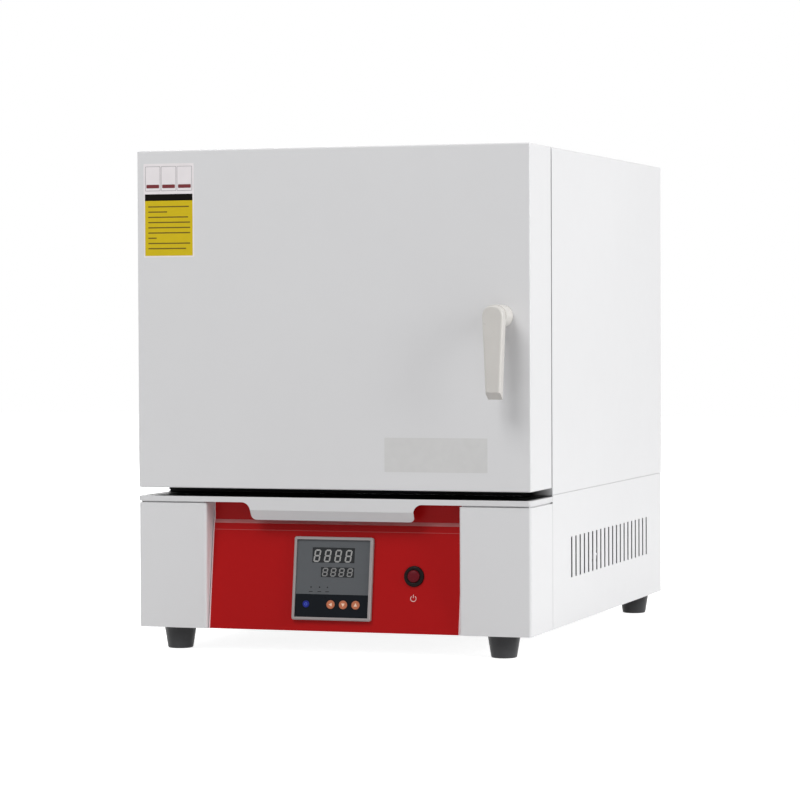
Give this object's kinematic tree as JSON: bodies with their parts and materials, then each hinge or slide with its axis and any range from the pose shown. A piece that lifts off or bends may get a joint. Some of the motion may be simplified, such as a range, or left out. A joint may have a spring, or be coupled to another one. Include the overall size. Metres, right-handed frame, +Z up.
{
  "type": "box resistance furnace",
  "caption": "Bench-top box furnace with a side-hinged door, lever latch, ceramic chamber with side heaters, and a base with a leaning control panel.",
  "frame": {"origin": "on the floor under the middle of the whole furnace, handle, hinges and cable gland included", "axes": "+Z up; -Y towards the front, where the door and the control panel are; +X to the viewer's right, the side of the handle"},
  "size_m": [0.4906, 0.683, 0.5814],
  "materials": {
    "white_enamel": "satin",
    "pale_steel": "satin",
    "red_enamel": "gloss",
    "handle_plastic": "satin",
    "bezel_plastic": "satin",
    "black_plastic": "matte",
    "display_grey": "satin",
    "key_strip": "gloss",
    "smoked_window": "gloss",
    "copper_keys": "satin",
    "blue_key": "satin",
    "switch_black": "gloss",
    "switch_red": "gloss",
    "dark_rubber": "matte",
    "zinc_steel": "satin",
    "cast_aluminium": "satin",
    "fibre_board": "matte",
    "kiln_ceramic": "matte",
    "fired_white": "gloss",
    "element_wire": "matte",
    "rope_seal": "matte"
  },
  "bodies": {
    "cabinet": {"base_floor": "white_enamel", "base_wrap": "white_enamel", "bay_partition": "pale_steel", "cable_gland": "black_plastic", "casing_hinge_leaves": "zinc_steel", "control_panel": "red_enamel", "controller_bezel": "bezel_plastic", "controller_housing": "black_plastic", "display_face": "display_grey", "display_windows": "smoked_window", "dividing_floor": "pale_steel", "element_terminals": "fired_white", "feet": "dark_rubber", "foot_screws": "zinc_steel", "front_frame": "white_enamel", "hearth_plate": "kiln_ceramic", "hinge_pins": "zinc_steel", "insulation_bottom": "fibre_board", "insulation_left": "fibre_board", "insulation_rear": "fibre_board", "insulation_right": "fibre_board", "insulation_top": "fibre_board", "key_plate": "key_strip", "ledge": "white_enamel", "left_column": "white_enamel", "left_heater_plate": "kiln_ceramic", "left_heating_wire": "element_wire", "mouth_frame": "kiln_ceramic", "outer_casing": "white_enamel", "panel_backing": "pale_steel", "rear_panel": "white_enamel", "relay_heatsink": "cast_aluminium", "right_column": "white_enamel", "right_heater_plate": "kiln_ceramic", "right_heating_wire": "element_wire", "roof_plate": "kiln_ceramic", "solid_state_relay": "black_plastic", "switch_ring": "switch_black", "terminal_strip": "black_plastic", "thermocouple": "fired_white"},
    "door": {"door_shell": "white_enamel", "door_inner_plate": "pale_steel", "door_insulation": "fibre_board", "door_plug": "fibre_board", "door_seal": "rope_seal", "door_hinge_leaves": "zinc_steel", "latch_bushes": "zinc_steel"},
    "handle": {"handle_lever": "handle_plastic", "latch_shaft": "zinc_steel", "latch_pawl": "zinc_steel"},
    "power_button": {"power_cap": "switch_red"},
    "key_set": {"set_key": "blue_key"},
    "key_left": {"left_key": "copper_keys"},
    "key_down": {"down_key": "copper_keys"},
    "key_up": {"up_key": "copper_keys"}
  },
  "joints": [
    {"name": "door_hinge", "type": "hinge", "parent": "cabinet", "child": "door", "pos_m": [-0.23975, -0.2115, 0.381], "axis": [0, 0, -1], "range_deg": [0, 120]},
    {"name": "handle_turn", "type": "hinge", "parent": "door", "child": "handle", "pos_m": [0.21225, -0.3025, 0.3873], "axis": [0, 1, 0], "range_deg": [0, 90]},
    {"name": "power_press", "type": "slide", "parent": "cabinet", "child": "power_button", "axis": [0, 0.9903, -0.1392], "range_m": [0, 0.003], "stiffness_N_per_m": 200},
    {"name": "key_set_press", "type": "slide", "parent": "cabinet", "child": "key_set", "axis": [0, 0.9903, -0.1392], "range_m": [0, 0.0006], "stiffness_N_per_m": 300},
    {"name": "key_left_press", "type": "slide", "parent": "cabinet", "child": "key_left", "axis": [0, 0.9903, -0.1392], "range_m": [0, 0.0006], "stiffness_N_per_m": 300},
    {"name": "key_down_press", "type": "slide", "parent": "cabinet", "child": "key_down", "axis": [0, 0.9903, -0.1392], "range_m": [0, 0.0006], "stiffness_N_per_m": 300},
    {"name": "key_up_press", "type": "slide", "parent": "cabinet", "child": "key_up", "axis": [0, 0.9903, -0.1392], "range_m": [0, 0.0006], "stiffness_N_per_m": 300}
  ]
}
